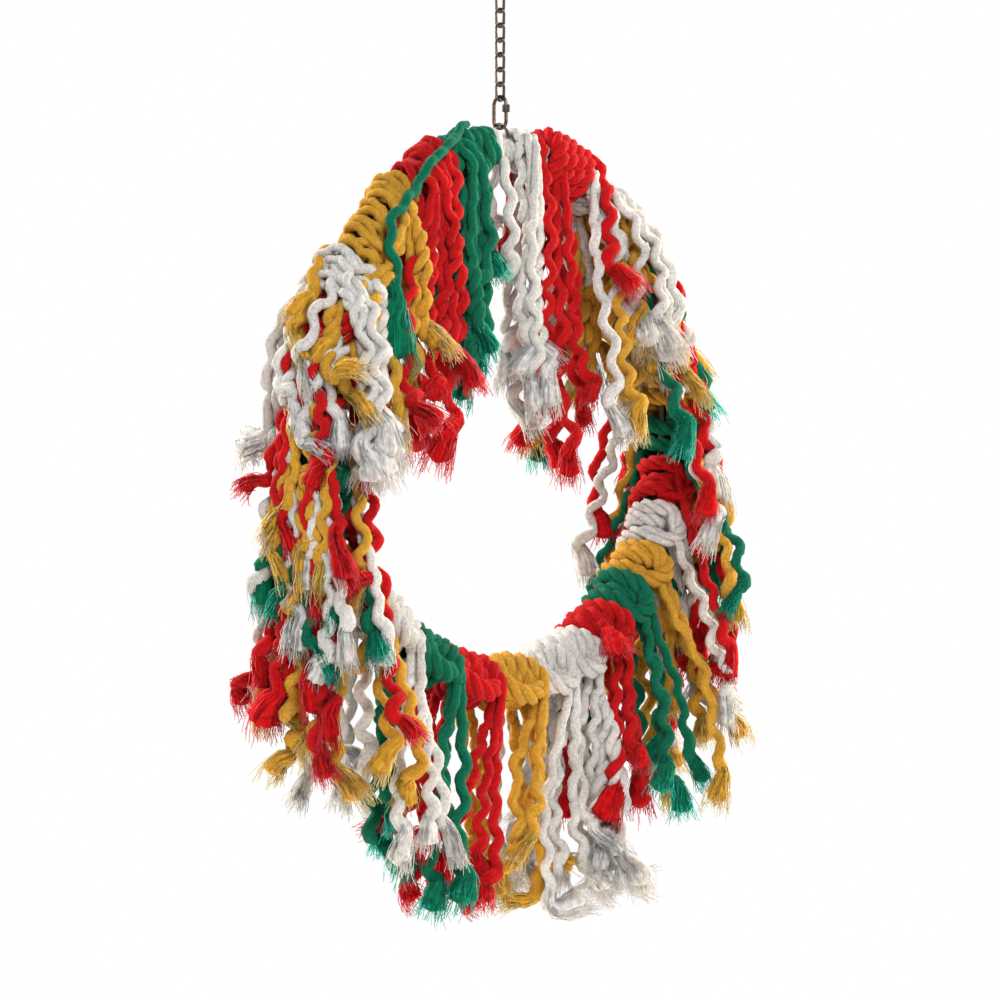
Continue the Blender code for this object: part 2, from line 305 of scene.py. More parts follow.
class SteelSettings(bpy.types.PropertyGroup):
    """Wire and plating."""
    chain_wire: metres("Chain wire", "Thickness of the chain's wire", 0.002)
    chain_width: metres("Chain width", "Width of a link between the middles of its wire", 0.0058)
    link_wire: metres("Link wire", "Thickness of the quick links' wire", 0.0027)
    eye_wire: metres("Eye wire", "Thickness of the wire eye", 0.0022)
    sides: IntProperty(name="Sides", description="Sides of the drawn wire", default=20, min=6)
    # The plating's grey, made darker as painted reflection of dark surroundings
    colour: dye("Steel", "Colour of the plated steel", "#7A7068")


class RopeSettings(bpy.types.PropertyGroup):
    """Rope, strands and frayed ends."""
    ply: metres("Ply", "Thickness of one ply in the laid rope", 0.0054)
    strand: metres("Strand", "Thickness of a ply that hangs free", 0.0067)
    lay: metres("Lay", "Length in which the plies go once round the rope", 0.028)
    crimp: metres("Crimp", "Length of one wave that the lay leaves in a strand", 0.0225)
    crimp_depth: metres("Crimp depth", "How far a wave stands out", 0.0043)
    tuft: metres("Tuft", "Length of a frayed end", 0.037)
    fibres: IntProperty(name="Fibres", description="Yarns in a frayed end", default=64, min=3)
    fibre: metres("Fibre", "Thickness of a frayed yarn", 0.0007)
    down: metres("Down", "Length of the fine hairs on the cotton", 0.0042)
    seed: IntProperty(name="Seed", description="Start of the random numbers", default=7)
    white: dye("White", "Bleached cotton", "#DEDDDB")
    red: dye("Red", "Red dyed cotton", "#C81419")
    green: dye("Green", "Green dyed cotton", "#0B6E52")
    gold: dye("Gold", "Gold dyed cotton", "#D4A038")


class StageSettings(bpy.types.PropertyGroup):
    """Floor, light and camera."""
    floor_drop: metres("Floor drop", "Height from the lowest strand to the floor", 0.55)
    azimuth: FloatProperty(
        name="Azimuth", description="Camera's turn about the swing", default=math.radians(-50),
        subtype="ANGLE")
    elevation: FloatProperty(
        name="Elevation", description="Camera's angle above the level", default=math.radians(1.5),
        subtype="ANGLE")
    distance: metres("Distance", "Camera to the swing", 2.8)
    width: metres("Width", "Width of the picture at the swing", 0.6955)
    below: metres("Below", "Middle of the picture below the hoop's middle", 0.058)
    glow: FloatProperty(name="Glow", description="Light of the floor's own", default=0.4)
    key: FloatProperty(name="Key", description="Front light", default=30.0, unit="POWER")
    rim: FloatProperty(name="Rim", description="Each light behind", default=50.0, unit="POWER")
    sky: FloatProperty(name="Sky", description="Strength of the white surroundings", default=0.15)


# Node trees that make meshes


def make_tree(name, sockets):
    """A geometry tree with named inputs, and the node that holds them."""
    tree = bpy.data.node_groups.new(name, "GeometryNodeTree")
    for label, kind in (("Geometry", "Geometry"), *sockets):
        tree.interface.new_socket(label, in_out="INPUT", socket_type=f"NodeSocket{kind}")
    tree.interface.new_socket("Geometry", in_out="OUTPUT", socket_type="NodeSocketGeometry")
    return tree, add(tree, "NodeGroupInput").outputs


def close_tree(tree, geometry, material):
    """Ends a tree with plain smooth faces that have their material."""
    smooth = add(tree, "GeometryNodeSetShadeSmooth", {"Geometry": geometry})
    real = add(tree, "GeometryNodeRealizeInstances", {0: smooth.outputs[0]})
    made = add(tree, "GeometryNodeSetMaterial", {"Geometry": real.outputs[0], "Material": material})
    add(tree, "NodeGroupOutput", {"Geometry": made.outputs[0]})
    return tree


def drawn_stock():
    """Wire or ply drawn along every line of a mesh, with lobes that turn as the line's points say."""
    tree, given = make_tree("Drawn stock", (
        ("Sides", "Int"), ("Lobes", "Int"), ("Lobe depth", "Float"), ("Material", "Material")))
    turn, thick = (
        add(tree, "GeometryNodeInputNamedAttribute", {"Name": name}, data_type="FLOAT").outputs[0]
        for name in ("turn", "thick"))
    circle = add(tree, "GeometryNodeCurvePrimitiveCircle",
                 {"Resolution": given["Sides"], "Radius": 1.0})
    place = add(tree, "GeometryNodeInputPosition").outputs[0]
    marked = add(tree, "GeometryNodeStoreNamedAttribute",
                 {"Geometry": circle.outputs[0], "Name": "round", "Value": place},
                 data_type="FLOAT_VECTOR", domain="POINT")
    index = add(tree, "GeometryNodeInputIndex").outputs[0]
    passed = add(tree, "ShaderNodeMath", {0: index, 1: given["Lobes"]}, operation="MULTIPLY")
    share = add(tree, "ShaderNodeMath", {0: passed.outputs[0], 1: given["Sides"]}, operation="DIVIDE")
    angle = add(tree, "ShaderNodeMath", {0: share.outputs[0], 1: math.tau}, operation="MULTIPLY")
    wave = add(tree, "ShaderNodeMath", {0: angle.outputs[0]}, operation="COSINE")
    grown = add(tree, "ShaderNodeMath", {0: wave.outputs[0], 1: given["Lobe depth"], 2: 1.0},
                operation="MULTIPLY_ADD")
    lobed = add(tree, "ShaderNodeVectorMath", {0: place, "Scale": grown.outputs[0]}, operation="SCALE")
    profile = add(tree, "GeometryNodeSetPosition",
                  {"Geometry": marked.outputs[0], "Position": lobed.outputs[0]})
    line = add(tree, "GeometryNodeMeshToCurve", {"Mesh": given["Geometry"]})
    turned = add(tree, "GeometryNodeSetCurveTilt", {"Curve": line.outputs[0], "Tilt": turn})
    length = add(tree, "GeometryNodeSplineParameter").outputs["Length"]
    along = add(tree, "GeometryNodeStoreNamedAttribute",
                {"Geometry": turned.outputs[0], "Name": "along", "Value": length},
                data_type="FLOAT", domain="POINT")
    solid = add(tree, "GeometryNodeCurveToMesh", {
        "Curve": along.outputs[0], "Profile Curve": profile.outputs[0],
        "Scale": thick, "Fill Caps": True})
    return close_tree(tree, solid.outputs[0], given["Material"])


def run_tree(name, source, tree, values):
    """The plain mesh that a tree makes of a source mesh."""
    carrier = bpy.data.objects.new(f"{name}_source", source)
    bpy.context.scene.collection.objects.link(carrier)
    modifier = carrier.modifiers.new(tree.name, "NODES")
    modifier.node_group = tree
    for item in tree.interface.items_tree:
        if item.in_out == "INPUT" and item.name in values:
            modifier[item.identifier] = values[item.name]
    graph = bpy.context.evaluated_depsgraph_get()
    mesh = bpy.data.meshes.new_from_object(carrier.evaluated_get(graph))
    bpy.data.objects.remove(carrier)
    bpy.data.meshes.remove(source)
    piece = bpy.data.objects.new(name, mesh)
    bpy.context.scene.collection.objects.link(piece)
    return piece


def line_mesh(name, lines):
    """A mesh of lines, each given as points, thickness, turn and whether it is closed."""
    points = []
    edges = []
    thick = []
    turn = []
    for line, half, turned, closed in lines:
        first = len(points)
        count = len(line)
        points += [tuple(p) for p in line]
        edges += [(first + i, first + i + 1) for i in range(count - 1)]
        if closed:
            edges.append((first + count - 1, first))
        thick += list(np.broadcast_to(half, count))
        turn += list(np.broadcast_to(turned, count))
    mesh = bpy.data.meshes.new(f"{name}_lines")
    mesh.from_pydata(points, edges, [])
    for label, values in (("thick", thick), ("turn", turn)):
        attribute = mesh.attributes.new(label, "FLOAT", "POINT")
        attribute.data.foreach_set("value", np.array(values, np.float32))
    return mesh


def draw(name, lines, material, sides, lobes=0, depth=0.0):
    """A piece of stock drawn along its lines."""
    tree = bpy.data.node_groups.get("Drawn stock") or drawn_stock()
    return run_tree(name, line_mesh(name, lines), tree, {
        "Sides": sides, "Lobes": lobes, "Lobe depth": depth, "Material": material})


# Materials


def new_material(name):
    """A material, its node tree and its shader."""
    material = bpy.data.materials.new(name)
    material.use_nodes = True
    return material, material.node_tree, material.node_tree.nodes["Principled BSDF"]


def plated_steel():
    """Zinc plated steel wire: dull grey, partly painted reflection of dark surroundings, with bright
    glints, and duller where fingers rub it.
    """
    steel = bpy.context.scene.swing_steel
    found = bpy.data.materials.get("zinc_plated_steel")
    if found:
        return found
    material, tree, shader = new_material("zinc_plated_steel")
    place = add(tree, "ShaderNodeTexCoord").outputs["Object"]
    # Blotches of about 4 mm
    blotch = add(tree, "ShaderNodeTexNoise", {"Vector": place, "Scale": 260.0, "Detail": 3.0})
    tone = add(tree, "ShaderNodeMix", {
        0: blotch.outputs["Fac"], 6: tuple(c * 0.62 for c in steel.colour[:3]) + (1,),
        7: tuple(steel.colour)}, data_type="RGBA")
    rough = add(tree, "ShaderNodeMapRange", {
        "Value": blotch.outputs["Fac"], "To Min": 0.24, "To Max": 0.46})
    tree.links.new(tone.outputs[2], shader.inputs["Base Color"])
    tree.links.new(rough.outputs[0], shader.inputs["Roughness"])
    shader.inputs["Metallic"].default_value = 1.0
    # Painted shade: the reflection at the wire's grazing edges is dimmed to darken its outline
    shader.inputs["Specular Tint"].default_value = linear(DIMMED_EDGE_REFLECTION)
    return material


def soft_shader(shader, through, depth, down):
    """Cotton's dull downy surface, which some light goes through."""
    shader.inputs["Roughness"].default_value = 0.92
    shader.inputs["Specular IOR Level"].default_value = down
    shader.inputs["Sheen Weight"].default_value = down
    shader.inputs["Sheen Roughness"].default_value = 0.6
    shader.inputs["Subsurface Weight"].default_value = through
    shader.inputs["Subsurface Radius"].default_value = (1.0, 0.8, 0.6)
    shader.inputs["Subsurface Scale"].default_value = depth


def frayed_cotton(colour):
    """Loose cotton yarn: paler than the ply, partly as painted light that brightens the shaded brush,
    and light shines through it.
    """
    name = f"{colour}_frayed_cotton"
    found = bpy.data.materials.get(name)
    if found:
        return found
    material, tree, shader = new_material(name)
    dyed = tuple(getattr(bpy.context.scene.swing_rope, colour))
    place = add(tree, "ShaderNodeTexCoord").outputs["Object"]
    rounds = add(tree, "ShaderNodeAttribute", attribute_name="round").outputs["Vector"]
    # Locks of about 4 mm differ, and forty yarns of about 1.5 mm lie side by side round the brush. The
    # yarns' tone follows their bump, so their grooves are painted shade
    lock = add(tree, "ShaderNodeTexNoise", {"Vector": place, "Scale": 1 / (4 * MM), "Detail": 2.0})
    yarn = add(tree, "ShaderNodeTexNoise", {
        "Vector": rounds, "Scale": 6.4, "Detail": 2.0, "Distortion": 0.4})
    mixed = add(tree, "ShaderNodeMath", {0: lock.outputs["Fac"], 1: yarn.outputs["Fac"]},
                operation="MULTIPLY")
    # Painted light and shade: the tone is lifted above the dye where the yarns stand out, and darkened
    # in their grooves
    tone = add(tree, "ShaderNodeMapRange", {
        "Value": mixed.outputs[0], "From Min": 0.14, "From Max": 0.38, "To Min": 0.7, "To Max": 1.22})
    bump = add(tree, "ShaderNodeBump", {
        "Height": yarn.outputs["Fac"], "Strength": 0.8, "Distance": 1 * MM})
    tree.links.new(bump.outputs[0], shader.inputs["Normal"])
    shade = add(tree, "ShaderNodeVectorMath", {0: dyed[:3], "Scale": tone.outputs[0]},
                operation="SCALE")
    tree.links.new(shade.outputs[0], shader.inputs["Base Color"])
    soft_shader(shader, 0.8, 0.006, 0.02)
    return material


def cotton(colour):
    """Soft spun cotton: dull, downy at the edges, with the yarns of the ply as fine slanting ridges,
    painted darker in their grooves as painted shade.
    """
    name = f"{colour}_spun_cotton"
    found = bpy.data.materials.get(name)
    if found:
        return found
    material, tree, shader = new_material(name)
    dyed = tuple(getattr(bpy.context.scene.swing_rope, colour))
    place = add(tree, "ShaderNodeTexCoord").outputs["Object"]
    rounds = add(tree, "ShaderNodeAttribute", attribute_name="round")
    axes = add(tree, "ShaderNodeSeparateXYZ", {0: rounds.outputs["Vector"]})
    angle = add(tree, "ShaderNodeMath", {0: axes.outputs[1], 1: axes.outputs[0]},
                operation="ARCTAN2")
    along = add(tree, "ShaderNodeAttribute", attribute_name="along").outputs["Fac"]
    # Yarns of about 1.1 mm side by side round the ply, which slant as they go along it. Their grooves
    # are bumped and also painted darker, as painted shade
    many = add(tree, "ShaderNodeMath", {0: angle.outputs[0], 1: YARNS}, operation="MULTIPLY")
    slant = add(tree, "ShaderNodeMath",
                {0: along, 1: YARNS * math.tau / YARN_LAY, 2: many.outputs[0]},
                operation="MULTIPLY_ADD")
    ridge = add(tree, "ShaderNodeMath", {0: slant.outputs[0]}, operation="SINE")
    dip = add(tree, "ShaderNodeMapRange", {"Value": ridge.outputs[0], "From Min": -1.0})
    # Slubs of about 2 mm and a slow change of dye over about 40 mm
    slub = add(tree, "ShaderNodeTexNoise", {"Vector": place, "Scale": 1 / (2 * MM), "Detail": 3.0})
    fade = add(tree, "ShaderNodeTexNoise", {"Vector": place, "Scale": 1 / (40 * MM), "Detail": 2.0})
    both = add(tree, "ShaderNodeMath", {0: dip.outputs[0], 1: 0.24, 2: slub.outputs["Fac"]},
               operation="MULTIPLY_ADD")
    # The tone follows the bump's height: the grooves between yarns and the hollows between slubs are
    # painted shade, besides the slubs' and the dye's own changes
    tone = add(tree, "ShaderNodeMapRange", {
        "Value": both.outputs[0], "From Min": 0.3, "From Max": 0.9, "To Min": 0.64, "To Max": 1.16})
    slow = add(tree, "ShaderNodeMapRange", {
        "Value": fade.outputs["Fac"], "From Min": 0.3, "From Max": 0.7, "To Min": 0.86, "To Max": 1.1})
    level = add(tree, "ShaderNodeMath", {0: tone.outputs[0], 1: slow.outputs[0]}, operation="MULTIPLY")
    shade = add(tree, "ShaderNodeVectorMath", {0: dyed[:3], "Scale": level.outputs[0]},
                operation="SCALE")
    bump = add(tree, "ShaderNodeBump", {
        "Height": both.outputs[0], "Strength": 0.75, "Distance": 1 * MM})
    tree.links.new(shade.outputs[0], shader.inputs["Base Color"])
    tree.links.new(bump.outputs[0], shader.inputs["Normal"])
    soft_shader(shader, 0.3, 0.004, 0.05)
    return material


# Lines that the pieces follow


def ease(value, low, high):
    """A smooth step from 0 at the low value to 1 at the high one."""
    x = np.clip((value - low) / (high - low), 0, 1)
    return x * x * (3 - 2 * x)


def unit(vectors):
    """The same directions, each of length 1."""
    return vectors / np.linalg.norm(vectors, axis=-1, keepdims=True)


def travelled(points):
    """How far along the line each of its points is."""
    return np.concatenate([[0], np.cumsum(np.linalg.norm(np.diff(points, axis=0), axis=1))])


def points_at(at, along, points):
    """The line's points at other places along it."""
    return np.stack([np.interp(at, along, points[:, k]) for k in range(3)], axis=1)


def spaced(points, step):
    """The same line with points about a step apart."""
    along = travelled(points)
    at = np.linspace(0, along[-1], max(3, round(along[-1] / step) + 1))
    return points_at(at, along, points)


def smoothed(points, times):
    """The line with its corners rounded and its ends kept."""
    line = points.copy()
    for _ in range(times):
        line[1:-1] = (line[:-2] + 2 * line[1:-1] + line[2:]) / 4
    return line


def unkinked(line, reach):
    """The line with its corners rounded until no step of this reach turns sharply."""
    for _ in range(20):
        steps = unit(np.diff(spaced(line, reach), axis=0))
        if np.sum(steps[1:] * steps[:-1], axis=1).min() > KINK:
            break
        line = smoothed(line, 1)
    return line


def curved(points, step):
    """A smooth curve through the points, with points about a step apart."""
    padded = np.concatenate([[2 * points[0] - points[1]], points, [2 * points[-1] - points[-2]]])
    before, start, end, after = padded[:-3], padded[1:-2], padded[2:-1], padded[3:]
    bend = 2 * before - 5 * start + 4 * end - after
    swing = 3 * start - before - 3 * end + after
    parts = []
    for t in np.linspace(0, 1, 6)[:-1]:
        parts.append(0.5 * (2 * start + (end - before) * t + bend * t ** 2 + swing * t ** 3))
    line = np.stack(parts, axis=1).reshape(-1, 3)
    return spaced(np.concatenate([line, points[-1:]]), step)


def carried(points, first):
    """Tangents, and two directions across the line that are carried along it without twist."""
    tangents = unit(np.gradient(points, axis=0))
    side = first - tangents[0] * (first @ tangents[0])
    sides = []
    for tangent in tangents:
        side = side - tangent * (side @ tangent)
        side = side / np.linalg.norm(side)
        sides.append(side)
    sides = np.array(sides)
    return tangents, sides, np.cross(tangents, sides)


def from_top(angle):
    """Degrees between a place on the hoop and its top."""
    return abs((math.degrees(angle) + 180) % 360 - 180)


def outward(angle):
    """The direction from the hoop's centre to a place on it."""
    return np.stack([np.sin(angle), np.zeros_like(angle), np.cos(angle)], axis=-1)


def on_hoop(angle, off=0.0, ahead=0.0, front=FRONT):
    """Places at angles of the hoop, so far off its middle line outwards and to the front."""
    off = np.asarray(off)[..., None]
    ahead = np.asarray(ahead)[..., None]
    return HOOP_CENTRE + outward(angle) * (HOOP_RADIUS + off) + front * ahead


def winding(turns):
    """How far a rope has turned round the rod at its points, and how far that is from its ends."""
    turned = np.linspace(0, turns * math.tau, round(turns * TURN_STEPS) + 1)
    return turned, np.minimum(turned, turned[-1] - turned)


def wound_route(angle, turns, pitch, radius, number):
    """Middle line of a rope: up from its front end, round the hoop, down to its back end."""
    sense = 1 if from_top(angle) > WOUND_FROM_INSIDE else -1
    turned, to_end = winding(turns)
    radius = radius + (TAIL_RADIUS - WOUND_RADIUS) * np.clip(1 - to_end / FLARE_TURN, 0, None) ** 2
    rows = turned / math.tau
    # No two rows lie quite alike
    radius = radius + UNEVEN * (1 + np.sin(4.3 * rows + 2.4 * number))
    shift = pitch * (rows - turns / 2) + UNEVEN * np.sin(3.1 * rows + 1.7 * number)
    around = math.pi / 2 + sense * turned
    points = on_hoop(angle + shift / HOOP_RADIUS, radius * np.cos(around), radius * np.sin(around))
    drop = UP * TAIL_DROP
    route = np.concatenate([[points[0] - drop], points, [points[-1] - drop]])
    return smoothed(spaced(route, ROUTE_STEP), 14)


def mass_route(angle, turns):
    """Middle line of the rows that cover a full knot, with both ends tucked under them."""
    turned, to_end = winding(turns)
    radius = MASS_RADIUS * (0.45 + 0.55 * ease(to_end, 0, FLARE_TURN))
    around = math.pi - turned
    shift = ROW_PITCH * (turned / math.tau - turns / 2)
    points = on_hoop(angle + shift / HOOP_RADIUS, radius * np.cos(around), radius * np.sin(around))
    return smoothed(spaced(points, ROUTE_STEP), 6)


def bar_route(angle, width):
    """Middle line of the bight that crosses the front of a knot, with its ends under the rows."""
    u = np.linspace(-1, 1, 41)
    bow = np.sqrt(np.clip(1 - u ** 2, 0, None))
    along = np.array((math.cos(angle), 0, -math.sin(angle)))
    points = on_hoop(angle, BAR_BOW[0] * bow - BAR_SEAT[0], BAR_SEAT[1] + BAR_BOW[1] * bow)
    return smoothed(spaced(points + along * (u * width / 2)[:, None], ROUTE_STEP), 6)


def under_eye_route(thick):
    """Middle line of the ply that is wound on the bare rod under the eye."""
    low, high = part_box("hoop_eye")
    shift = np.linspace(low[0], high[0], 4 * TURN_STEPS)
    turned = math.tau * shift / thick
    radius = (HOOP_ROD + thick) / 2
    return on_hoop(shift / HOOP_RADIUS, radius * np.cos(turned), radius * np.sin(turned))


class Rope:
    """One length of rope: its place on the hoop, its wound plies and its strands."""

    def __init__(self, node):
        self.node = node
        self.colour, _, number = node.split("_")
        self.number = int(number)
        self.loose = self.number in LOOSE
        self.trim = TRIMS.get(self.number, 1.0)
        corners = np.array([v.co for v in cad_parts[node].data.vertices]) - HOOP_CENTRE
        off_hoop = np.hypot(np.hypot(corners[:, 0], corners[:, 2]) - HOOP_RADIUS, corners[:, 1])
        knot = corners[off_hoop < WOUND_RADIUS + ROPE / 2]
        about = math.atan2(*knot.mean(axis=0)[[0, 2]])
        angles = (np.arctan2(knot[:, 0], knot[:, 2]) - about + math.pi) % math.tau - math.pi
        self.angle = about + (angles.max() + angles.min()) / 2
        self.side = from_top(self.angle)
        span = (angles.max() - angles.min()) * HOOP_RADIUS
        self.turns = math.floor((span - ROPE) / ROPE_PITCH) + (0.5 if self.loose else 1.5)
        self.bulk = 1 + LOW_BULK * float(ease(self.side, *BULKY))
        pitch = ROPE_PITCH if self.loose else ROW_PITCH
        radius = WOUND_RADIUS * self.bulk
        self.route = wound_route(self.angle, self.turns, pitch, radius, self.number)
        self.cores = [self.route]
        self.plies = []
        self.bars = []
        self.strands = []

    def add_strand(self, line, bushy=1.0):
        """A strand of this rope, with how full its frayed end is."""
        self.strands.append({"rope": self, "line": line, "bushy": bushy})


def lay_plies(route, bulk, rope, random):
    """The three plies of a rope laid along a route, which come out of their lay at both ends."""
    along = travelled(route)
    to_end = np.minimum(along, along[-1] - along)
    rate = ease(to_end, 0, UNLAID) / (rope.lay * random.uniform(0.93, 1.07))
    turn = np.cumsum(rate * np.gradient(along)) * math.tau + random.uniform(0, math.tau)
    _, side, other = carried(route, UP + 0.3 * FRONT)
    offset = rope.ply * bulk / 2 * PLY_OUT
    plies = []
    for k in range(3):
        phase = turn + math.tau * k / 3
        across = side * np.cos(phase)[:, None] + other * np.sin(phase)[:, None]
        plies.append(route + offset * across)
    return plies


def part_plies(item, rope, random):
    """The plies of a rope out of its lay: side by side, each its own way over the hoop."""
    along = travelled(item.route)
    tangents = unit(np.gradient(item.route, axis=0))
    about = item.route - HOOP_CENTRE
    foot = HOOP_RADIUS * outward(np.arctan2(about[:, 0], about[:, 2]))
    off = unit(about - foot)
    beside = unit(np.cross(tangents, off))
    plies = []
    for k in range(3):
        wander = np.sin(along * math.tau / random.uniform(0.05, 0.09) + random.uniform(0, math.tau))
        crimp = math.tau * along / rope.crimp + 2.6 * k
        rise = (random.uniform(-1.0, 2.5) + 1.2 * wander + 1.4 * np.sin(crimp)) * MM
        shift = (1.2 * np.roll(wander, 7) + 1.6 * np.cos(crimp)) * MM
        apart = (k - 1) * rope.strand * PARTED + shift
        plies.append(item.route + beside * apart[:, None] + off * rise[:, None])
    return plies


def turned_about(vectors, axis, angle):
    """Vectors turned about an axis, each by its own angle."""
    cos = np.cos(angle)[:, None]
    sin = np.sin(angle)[:, None]
    along = axis * (vectors @ axis)[:, None]
    return vectors * cos + np.cross(axis, vectors) * sin + along * (1 - cos)


def waved(line, length, rope, random, phase, crimped=1.0):
    """A strand's line cut to its length, wandering, wavy from its lay, and curled at its end."""
    line = spaced(line, SIM_STEP / 2)
    line = line[travelled(line) < length]
    along = travelled(line)
    steps = np.diff(line, axis=0)
    meander = MEANDER * ease(along[1:], *MEANDER_FROM)
    for axis in (ACROSS, FRONT):
        turn = math.tau * along[1:] / random.uniform(*MEANDER_WAVE) + random.uniform(0, math.tau)
        steps = turned_about(steps, axis, meander * np.sin(turn))
    heading = random.uniform(0, math.tau)
    curl = np.array((math.cos(heading), math.sin(heading), 0.0))
    bend = math.radians(float(np.clip(random.normal(0, CURL), -CURL_MOST, CURL_MOST)))
    steps = turned_about(steps, curl, bend * ease(along[1:], length - CURL_WITHIN, length))
    line = np.concatenate([line[:1], line[0] + np.cumsum(steps, axis=0)])
    depth = crimped * rope.crimp_depth * random.uniform(*CRIMP_DEPTHS) * ease(along, *CRIMP_FROM)
    turn = phase + math.tau * along / (rope.crimp * random.uniform(*CRIMP_VARIES))
    _, side, other = carried(line, ACROSS)
    across = side * np.cos(turn)[:, None] + CRIMP_FLAT * other * np.sin(turn)[:, None]
    return spaced(line + depth[:, None] * across, SIM_STEP)


def hoop_bulge(top, fall):
    """How far the hoop's side goes outwards while a strand falls from a height."""
    height = top - fall - HOOP_CENTRE[2]
    half = np.sqrt(np.clip(HOOP_RADIUS ** 2 - height ** 2, 0, None))
    return np.maximum.accumulate(half) - half[0]


def hang_line(item, start, column, length, random):
    """Where a strand hangs: from its rope to its side of the hoop, and down past the knots below."""
    fan = float(ease(item.side, *FAN_FROM) * (1 - ease(item.side, *FAN_TO)))
    beside = math.copysign(1, math.sin(item.angle))
    turn = fan * math.radians(FAN[round(column * beside) + 1] + random.normal(0, FAN_VARIES))
    fall = np.arange(0, length * 1.5, SIM_STEP / 2)
    moved = ease(fall, 0, FAN_WITHIN)
    ahead = LEAN_RIGHT if beside > 0 else LEAN_LEFT
    lean = LEAN + fan * (LEAN_OUT + (ahead - LEAN_OUT) * math.cos(turn) ** 2)
    lean = lean + random.normal(0, LEAN_VARIES)
    springy = float(ease(item.side, *SPRINGY_FROM) * (1 - ease(item.side, *SPRINGY_TO)))
    springy = SPRINGY * springy * ease(fall, 0, SPRINGY_WITHIN)
    lane = abs(start[1]) + (DRAPE - abs(start[1])) * fan * moved + lean * fall + springy
    follow = hoop_bulge(start[2], fall) * math.sin(turn) * FOLLOW
    low = float(ease(item.side, *LOW_FROM))
    spread = column * (STRAND_PITCH * math.cos(turn) * (1 - low) + LOW_PITCH * low)
    spread += low * (HOOP_RADIUS * math.sin(item.angle) - start[0])
    return np.stack([
        start[0] + beside * (lane * np.sin(turn * moved) + follow) + spread * moved,
        math.copysign(1, start[1]) * lane * np.cos(turn * moved),
        start[2] - fall], axis=1)


def cover_line(item, out, length):
    """Where a strand hangs that comes out at the top of a steep knot and covers its outer side."""
    beside = math.copysign(1, math.sin(item.angle))
    base = on_hoop(item.angle - beside * COVER_RISE / HOOP_RADIUS, *COVER_SEAT, out)
    fall = np.arange(0, length * 1.3, SIM_STEP / 2)
    moved = ease(fall, 0, COVER_WITHIN)
    aside = hoop_bulge(base[2], fall) + COVER_OUT[0] * moved + LEAN_OUT * fall
    line = base - UP * fall[:, None] + ACROSS * beside * aside[:, None]
    return line + out * (COVER_OUT[1] * moved + COVER_LEAN * fall)[:, None]


def stray_line():
    """Where one ply lies that crosses the tops of the next knots, and then falls in front."""
    share = np.linspace(0, 1, 24)
    over = on_hoop(np.radians(np.linspace(*STRAY_OVER, 24)), STRAY_RADIUS, STRAY_FRONT * share)
    fall = np.linspace(SIM_STEP, STRAY_FALL, 20)[:, None]
    return smoothed(spaced(np.concatenate([over, over[-1] - UP * fall]), SIM_STEP), 3)


def short_line(angle):
    """Where a short end stands out from the inner side of a knot."""
    away = unit(0.7 * FRONT - 0.7 * outward(angle))
    base = on_hoop(angle) + away * SHORT_SEAT
    return base + (away - 0.2 * UP) * np.linspace(0, SHORT_END, 12)[:, None]


def arch_line(angle, out, aside, stiff, length):
    """Where a springy ply hangs that arches out from the top of the hoop before it falls."""
    s = np.linspace(0, length * 1.05, 60)
    slope = math.pi / 2 * (0.05 + 0.92 * ease(s, 0, stiff))
    ahead = unit(out + aside * ACROSS)
    steps = np.cos(slope)[:, None] * ahead - np.sin(slope)[:, None] * UP
    return on_hoop(angle, DRAPED_RADIUS) + np.cumsum(steps, axis=0) * (s[1] - s[0])


def drape_line(angle, out, length, radius):
    """Where a loose ply hangs that only lies over the hoop: over its top and down one side."""
    around = np.linspace(0, math.pi / 2, 12)
    radius = radius + DRAPED_OUT * np.sin(around)
    over = on_hoop(angle, radius * np.cos(around), radius * np.sin(around), out)
    fall = np.linspace(SIM_STEP, length, 30)[:, None]
    return np.concatenate([over, over[-1] + (out * DRAPED_LEAN - UP) * fall])


def near_pairs(points, others, reach):
    """Pairs of a point and another one that is nearer than the reach, as two columns."""
    tree = kdtree.KDTree(len(others))
    for i, point in enumerate(others):
        tree.insert(point, i)
    tree.balance()
    found = [(i, j) for i, point in enumerate(points) for _, j, _ in tree.find_range(point, reach)]
    return np.array(found, int).reshape(-1, 2)


def pressed(away, reach):
    """How far pairs that are too near are pushed to the reach, and which of them touch."""
    gap = np.linalg.norm(away, axis=1)
    move = away * (np.clip(reach - gap, 0, None) / np.maximum(gap, 1e-6))[:, None]
    return move, (gap < reach).astype(float)


